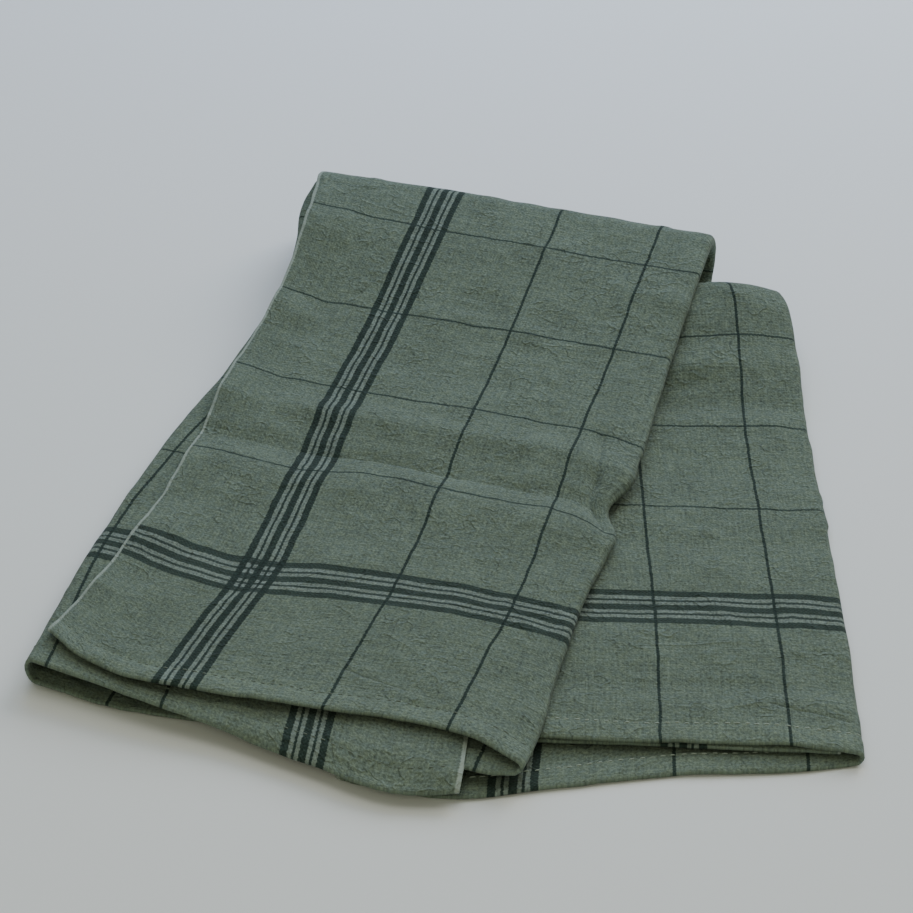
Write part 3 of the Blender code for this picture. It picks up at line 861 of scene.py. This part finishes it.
# the sharp creases, in centimetres on the flat cloth: from, to, height and width
FINE_CREASES = (
    # the old crease across the flap
    (-1.0, 15.1, 4.4, 15.0, -0.03, 0.22),
    (4.4, 15.0, 13.2, 14.8, -0.08, 0.16),
    (13.2, 14.8, 15.4, 15.0, -0.04, 0.18),
    # the pinch beside the right crease
    (15.3, 18.9, 15.9, 15.0, -0.09, 0.13),
    (15.9, 15.0, 16.6, 13.3, -0.07, 0.13),
    # beside the selvedge
    (1.3, 28.9, 2.6, 27.6, -0.03, 0.12),
    (0.3, 24.9, 1.7, 23.9, -0.04, 0.12),
    (1.2, 18.2, 1.5, 15.6, -0.03, 0.12),
    # above the upper hem
    (10.2, 2.3, 12.4, 1.6, -0.09, 0.10),
    (11.0, 4.7, 12.1, 3.9, 0.05, 0.08),
    (12.9, 3.6, 14.4, 3.3, -0.05, 0.08),
    # above the lower hem
    (20.8, 68.3, 19.5, 67.9, 0.06, 0.08),
    (19.2, 68.0, 16.7, 68.5, -0.06, 0.08),
    (23.0, 64.8, 20.4, 64.5, 0.06, 0.08),
)


class Nodes:
    """Short calls that add nodes to one material or world and give their outputs."""

    def __init__(self, material):
        self.tree = material.node_tree

    def add(self, kind, **settings):
        node = self.tree.nodes.new(kind)
        for name, value in settings.items():
            setattr(node, name, value)
        return node

    def feed(self, socket, value):
        if isinstance(value, bpy.types.NodeSocket):
            self.tree.links.new(value, socket)
        else:
            socket.default_value = value

    def split(self, vector):
        """The outputs X, Y and Z of a vector."""
        node = self.add("ShaderNodeSeparateXYZ")
        self.feed(node.inputs[0], vector)
        return node.outputs

    def vector(self, x, y, z=0.0):
        node = self.add("ShaderNodeCombineXYZ")
        for socket, value in zip(node.inputs, (x, y, z)):
            self.feed(socket, value)
        return node.outputs[0]

    def maths(self, operation, *values):
        node = self.add("ShaderNodeMath", operation=operation)
        for socket, value in zip(node.inputs, values):
            self.feed(socket, value)
        return node.outputs[0]

    def times(self, first, second):
        return self.maths("MULTIPLY", first, second)

    def total(self, *values):
        result = values[0]
        for value in values[1:]:
            result = self.maths("ADD", result, value)
        return result

    def off(self, value, middle):
        """How far a value is from a middle one, on either side."""
        return self.maths("ABSOLUTE", self.maths("SUBTRACT", value, middle))

    def about(self, value, reach):
        """A noise of 0 to 1, turned into one of about -reach to reach."""
        return self.times(self.maths("SUBTRACT", value, 0.5), 2 * reach)

    def ramp(self, value, from_low, from_high, to_low, to_high):
        node = self.add("ShaderNodeMapRange", interpolation_type="SMOOTHSTEP")
        names = ("Value", "From Min", "From Max", "To Min", "To Max")
        for name, given in zip(names, (value, from_low, from_high, to_low, to_high)):
            self.feed(node.inputs[name], given)
        return node.outputs["Result"]

    def inside(self, value, low, high, soft):
        """1 between low and high, 0 outside, with soft edges."""
        rise = self.ramp(value, low - soft, low + soft, 0.0, 1.0)
        fall = self.ramp(value, high - soft, high + soft, 1.0, 0.0)
        return self.times(rise, fall)

    def noise_at(self, vector, look):
        node = self.add("ShaderNodeTexNoise", noise_dimensions="3D", noise_type=look.kind)
        self.feed(node.inputs["Vector"], vector)
        node.inputs["Scale"].default_value = look.scale
        node.inputs["Detail"].default_value = look.detail
        node.inputs["Roughness"].default_value = look.roughness
        return node.outputs["Fac"]

    def noise(self, across, along, look):
        """One of the flat cloth's noises."""
        across = self.times(across, look.across)
        along = self.times(along, look.along)
        return self.noise_at(self.vector(across, along, look.shift), look)

    def mix(self, share, first, second):
        node = self.add("ShaderNodeMix", data_type="RGBA")
        self.feed(node.inputs["Factor"], share)
        colours = [socket for socket in node.inputs if socket.type == "RGBA"]
        self.feed(colours[0], first)
        self.feed(colours[1], second)
        return next(socket for socket in node.outputs if socket.type == "RGBA")


def new_material(name):
    """A material with nodes, the calls that add to them, and its shader."""
    material = bpy.data.materials.new(name)
    material.use_nodes = True
    return material, Nodes(material), material.node_tree.nodes["Principled BSDF"]


def stripes(nodes, from_middle, pattern):
    """The dark and the light share of one direction's threads."""
    dark = 0.0
    half = 0.5 * pattern.line_width
    for line in pattern.lines:
        inside = nodes.inside(from_middle, line - half, line + half, LINE_SOFT)
        dark = nodes.maths("MAXIMUM", dark, inside)
    at = nodes.maths("DIVIDE", nodes.off(from_middle, pattern.band), pattern.band_half)
    for low, high in DARK_STRIPES:
        dark = nodes.maths("MAXIMUM", dark, nodes.inside(at, low, high, STRIPE_SOFT))
    return dark, nodes.inside(at, *LIGHT_STRETCH, STRIPE_SOFT)


def fine_creases(nodes, across, along):
    """The height of the sharp creases: a narrow valley or ridge along each segment."""
    height = 0.0
    for start_across, start_along, end_across, end_along, rise, width in FINE_CREASES:
        run_across, run_along = end_across - start_across, end_along - start_along
        run_squared = run_across ** 2 + run_along ** 2
        from_across = nodes.maths("SUBTRACT", across, start_across)
        from_along = nodes.maths("SUBTRACT", along, start_along)
        share = nodes.total(
            nodes.times(from_across, run_across / run_squared),
            nodes.times(from_along, run_along / run_squared),
        )
        share = nodes.maths("MINIMUM", nodes.maths("MAXIMUM", share, 0.0), 1.0)
        off_across = nodes.maths("MULTIPLY_ADD", share, -run_across, from_across)
        off_along = nodes.maths("MULTIPLY_ADD", share, -run_along, from_along)
        off_squared = nodes.total(
            nodes.times(off_across, off_across), nodes.times(off_along, off_along)
        )
        off = nodes.maths("SQRT", off_squared)
        fall = nodes.maths("EXPONENT", nodes.times(off, -1 / width))
        height = nodes.maths("MULTIPLY_ADD", fall, rise, height)
    return height


def crinkle(nodes, across, along):
    """Short thin ridges in all directions, where a noise crosses its middle value."""
    pattern = nodes.noise(across, along, CRINKLE)
    off = nodes.maths("DIVIDE", nodes.maths("SUBTRACT", pattern, 0.5), CRINKLE_WIDTH)
    ridge = nodes.maths("EXPONENT", nodes.times(nodes.times(off, off), -1.0))
    patches = nodes.ramp(
        nodes.noise(across, along, CRINKLE_PATCHES), *CRINKLE_RANGE, 0.0, 1.0
    )
    return nodes.times(nodes.times(ridge, patches), CRINKLE_HEIGHT)


def cover(nodes, dark, share, breaks):
    """How much of the surface a direction's dark threads take up."""
    return nodes.times(dark, nodes.maths("ADD", share, breaks))


def linen():
    """Grey-green washed linen with its dark check, bands, slubs and pale selvedges."""
    material, nodes, shader = new_material("linen")
    flat = nodes.split(nodes.add("ShaderNodeUVMap", uv_map="flat").outputs["UV"])
    across, along = nodes.times(flat["X"], 1 / CM), nodes.times(flat["Y"], 1 / CM)

    # threads wander a little, so that no line is ruled, and no edge of a stripe is sharp
    warp_at = nodes.total(
        across,
        nodes.about(nodes.noise(across, along, BEND_ACROSS), BEND_ACROSS_REACH),
        nodes.about(nodes.noise(across, along, SHAKE_ACROSS), SHAKE_REACH),
    )
    weft_at = nodes.total(
        along,
        nodes.about(nodes.noise(across, along, BEND_ALONG), BEND_ALONG_REACH),
        nodes.about(nodes.noise(across, along, SHAKE_ALONG), SHAKE_REACH),
    )
    from_middle_across = nodes.off(warp_at, 0.5 * CLOTH_WIDTH)
    from_middle_along = nodes.off(weft_at, 0.5 * CLOTH_LENGTH)
    warp_dark, warp_light = stripes(nodes, from_middle_across, WARP)
    weft_dark, weft_light = stripes(nodes, from_middle_along, WEFT)

    # slubs: threads that are thicker and lighter for a few centimetres
    warp_slub = nodes.noise(across, along, WARP_SLUB)
    weft_slub = nodes.noise(across, along, WEFT_SLUB)
    mottle = nodes.noise(across, along, MOTTLE)
    grain = nodes.noise(across, along, GRAIN)

    # the weave: warp and weft threads lie on top in turn
    to_thread = math.pi / THREAD_PITCH
    warp_wave = nodes.maths("SINE", nodes.times(warp_at, to_thread))
    weft_wave = nodes.maths("SINE", nodes.times(weft_at, to_thread))
    weave = nodes.times(warp_wave, weft_wave)

    warmth = nodes.ramp(nodes.noise(across, along, HUE), *HUE_RANGE, 0.0, 1.0)
    colour = nodes.mix(warmth, BASE_COOL, BASE_WARM)
    colour = nodes.mix(nodes.times(warp_light, WARP_LIGHT), colour, LIGHT_COLOUR)
    colour = nodes.mix(nodes.times(weft_light, WEFT_LIGHT), colour, LIGHT_COLOUR)
    breaks = nodes.total(nodes.times(weave, BREAKS), nodes.about(grain, GRAIN_BREAKS))
    colour = nodes.mix(cover(nodes, weft_dark, WEFT_COVER, breaks), colour, DARK_COLOUR)
    # the warp lies on top where the weft doesn't
    breaks = nodes.times(weave, -0.5 * BREAKS)
    colour = nodes.mix(cover(nodes, warp_dark, WARP_COVER, breaks), colour, DARK_COLOUR)

    # painted highlight: the tone rises towards each hem, for the light that the hem's raised fold
    # catches
    from_hem = nodes.maths("SUBTRACT", 0.5 * CLOTH_LENGTH, from_middle_along)
    hem_highlight_edge = (HEM_DEPTH + shift for shift in HEM_HIGHLIGHT_EDGE)
    tone = nodes.total(
        nodes.about(mottle, MOTTLE_TONE),
        nodes.about(grain, GRAIN_TONE),
        nodes.about(warp_slub, SLUB_TONE),
        nodes.about(weft_slub, SLUB_TONE),
        nodes.times(weave, WEAVE_TONE),
        nodes.ramp(from_hem, *hem_highlight_edge, HEM_PAINTED_HIGHLIGHT, 0.0),
        1.0,
    )
    toned = nodes.add("ShaderNodeVectorMath", operation="SCALE")
    nodes.feed(toned.inputs[0], colour)
    nodes.feed(toned.inputs["Scale"], tone)
    from_selvedge = nodes.maths("SUBTRACT", 0.5 * CLOTH_WIDTH, from_middle_across)
    selvedge_edge = (SELVEDGE_WIDTH + shift for shift in SELVEDGE_EDGE)
    selvedge = nodes.ramp(from_selvedge, *selvedge_edge, SELVEDGE_COVER, 0.0)
    colour = nodes.mix(selvedge, toned.outputs[0], SELVEDGE_COLOUR)
    nodes.feed(shader.inputs["Base Color"], colour)

    # the weave stands in low relief, under the slubs, the crinkle and the sharp creases
    relief = nodes.total(
        nodes.times(weave, WEAVE_RELIEF),
        nodes.times(grain, GRAIN_RELIEF),
        nodes.times(warp_slub, SLUB_RELIEF),
        nodes.times(weft_slub, SLUB_RELIEF),
        nodes.times(nodes.noise(across, along, CREASE), CREASE_RELIEF),
        crinkle(nodes, across, along),
        fine_creases(nodes, warp_at, weft_at),
    )
    bump = nodes.add("ShaderNodeBump")
    bump.inputs["Strength"].default_value = RELIEF_STRENGTH
    bump.inputs["Distance"].default_value = CM
    nodes.feed(bump.inputs["Height"], relief)
    nodes.feed(shader.inputs["Normal"], bump.outputs[0])
    shader.inputs["Roughness"].default_value = CLOTH_ROUGHNESS
    shader.inputs["Specular IOR Level"].default_value = CLOTH_SPECULAR
    shader.inputs["Sheen Weight"].default_value = CLOTH_SHEEN
    shader.inputs["Sheen Roughness"].default_value = SHEEN_ROUGHNESS
    return material


def thread(name, colours):
    """The sewing thread of a hem, between two colours as it twists."""
    material, nodes, shader = new_material(name)
    on_thread = nodes.add("ShaderNodeTexCoord").outputs["Object"]
    nodes.feed(shader.inputs["Base Color"], nodes.mix(nodes.noise_at(on_thread, TWIST), *colours))
    shader.inputs["Roughness"].default_value = THREAD_ROUGHNESS
    return material


# ==== the pieces ====
def add(name, mesh, material):
    """A piece of the towel, which moves with its only body."""
    piece = bpy.data.objects.new(name, mesh)
    mesh.materials.append(material)
    bpy.context.scene.collection.objects.link(piece)
    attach(piece, "root")
    return piece


def build_towel():
    """The cloth and the thread of its hems.  Returns the shift to the solid's frame."""
    across, along = cloth_grid()
    shift = table_to_frame(across, along)
    cloth = add("cloth", sheet_mesh(across, along, shift), linen())
    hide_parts("towel")
    upper = stitches("upper_hem_thread", STITCH_DEPTH, shift)
    lower = stitches("lower_hem_thread", CLOTH_LENGTH - STITCH_DEPTH, shift)
    sewing = [
        add("upper_hem_thread", upper, thread("upper_thread", UPPER_THREAD)),
        add("lower_hem_thread", lower, thread("lower_thread", LOWER_THREAD)),
    ]
    return shift


# ==== floor, light and camera ====
# half of the floor's side, in metres
FLOOR_REACH = 6.0
# the room is brighter behind the towel than in front of it: where it changes, as the Y of
# a direction, and its brightness and tint
SKY_RANGE = (-0.8, 0.8)
TINT_RANGE = (-0.4, 0.8)
FRONT_SKY = 0.15
BACK_SKY = 0.38
FRONT_TINT = (1.0, 1.0, 0.86, 1.0)
BACK_TINT = (0.92, 0.98, 1.02, 1.0)
# soft square lamps that face the towel, in metres and watts
Lamp = namedtuple("Lamp", "name place_at size power colour")
LAMPS = (
    Lamp("overhead", (-0.1, 0.20, 1.80), 1.2, 8.0, (1.0, 1.0, 0.90)),
    Lamp("key", (0.9, 1.2, 1.0), 1.0, 17.0, (1.0, 0.99, 0.92)),
    Lamp("behind", (0.1, 0.70, 0.55), 0.9, 3.2, (0.52, 0.82, 1.50)),
    Lamp("front", (-0.1, -1.4, 0.9), 1.2, 6.0, (1.0, 0.98, 0.72)),
)


def build_floor():
    reach = FLOOR_REACH
    corners = [(-reach, -reach, 0), (reach, -reach, 0), (reach, reach, 0), (-reach, reach, 0)]
    mesh = bpy.data.meshes.new("floor")
    mesh.from_pydata(corners, [], [(0, 1, 2, 3)])
    material, nodes, shader = new_material("floor")
    nodes.feed(shader.inputs["Base Color"], FLOOR_COLOUR)
    nodes.feed(shader.inputs["Roughness"], FLOOR_ROUGHNESS)
    mesh.materials.append(material)
    floor = bpy.data.objects.new("floor", mesh)
    bpy.context.scene.collection.objects.link(floor)


def build_world():
    world = bpy.data.worlds.new("studio")
    world.use_nodes = True
    sky = world.node_tree.nodes["Background"]
    nodes = Nodes(world)
    ahead = nodes.split(nodes.add("ShaderNodeTexCoord").outputs["Generated"])["Y"]
    nodes.feed(sky.inputs["Strength"], nodes.ramp(ahead, *SKY_RANGE, FRONT_SKY, BACK_SKY))
    tint = nodes.mix(nodes.ramp(ahead, *TINT_RANGE, 0.0, 1.0), FRONT_TINT, BACK_TINT)
    nodes.feed(sky.inputs["Color"], tint)
    bpy.context.scene.world = world


def build_lamps():
    for name, place_at, size, power, colour in LAMPS:
        lamp = bpy.data.lights.new(name, "AREA")
        lamp.shape = "SQUARE"
        lamp.size = size
        lamp.energy = power
        lamp.color = colour
        holder = bpy.data.objects.new(name, lamp)
        holder.location = place_at
        holder.rotation_euler = (-Vector(place_at)).to_track_quat("-Z", "Y").to_euler()
        bpy.context.scene.collection.objects.link(holder)


def build_camera(shift):
    """The photograph's camera: it looks at the table frame's origin, a little rolled."""
    right = Vector((1.0, 0.0, 0.0))
    up = Vector((0.0, math.sin(LOOK_DOWN), math.cos(LOOK_DOWN)))
    ahead = Vector((0.0, math.cos(LOOK_DOWN), -math.sin(LOOK_DOWN)))
    turned_right = right * math.cos(CAMERA_ROLL) + up * math.sin(CAMERA_ROLL)
    turned_up = up * math.cos(CAMERA_ROLL) - right * math.sin(CAMERA_ROLL)
    place_at = (Vector(shift.tolist()) - ahead * LOOK_DISTANCE) * CM
    lens = bpy.data.cameras.new("camera")
    lens.sensor_width = SENSOR_MM
    lens.lens = LENS_MM
    camera = bpy.data.objects.new("camera", lens)
    camera.matrix_world = Matrix((
        (turned_right.x, turned_up.x, -ahead.x, place_at.x),
        (turned_right.y, turned_up.y, -ahead.y, place_at.y),
        (turned_right.z, turned_up.z, -ahead.z, place_at.z),
        (0.0, 0.0, 0.0, 1.0),
    ))
    bpy.context.scene.collection.objects.link(camera)
    bpy.context.scene.camera = camera


def main():
    build_camera(build_towel())
    build_floor()
    build_world()
    build_lamps()


main()
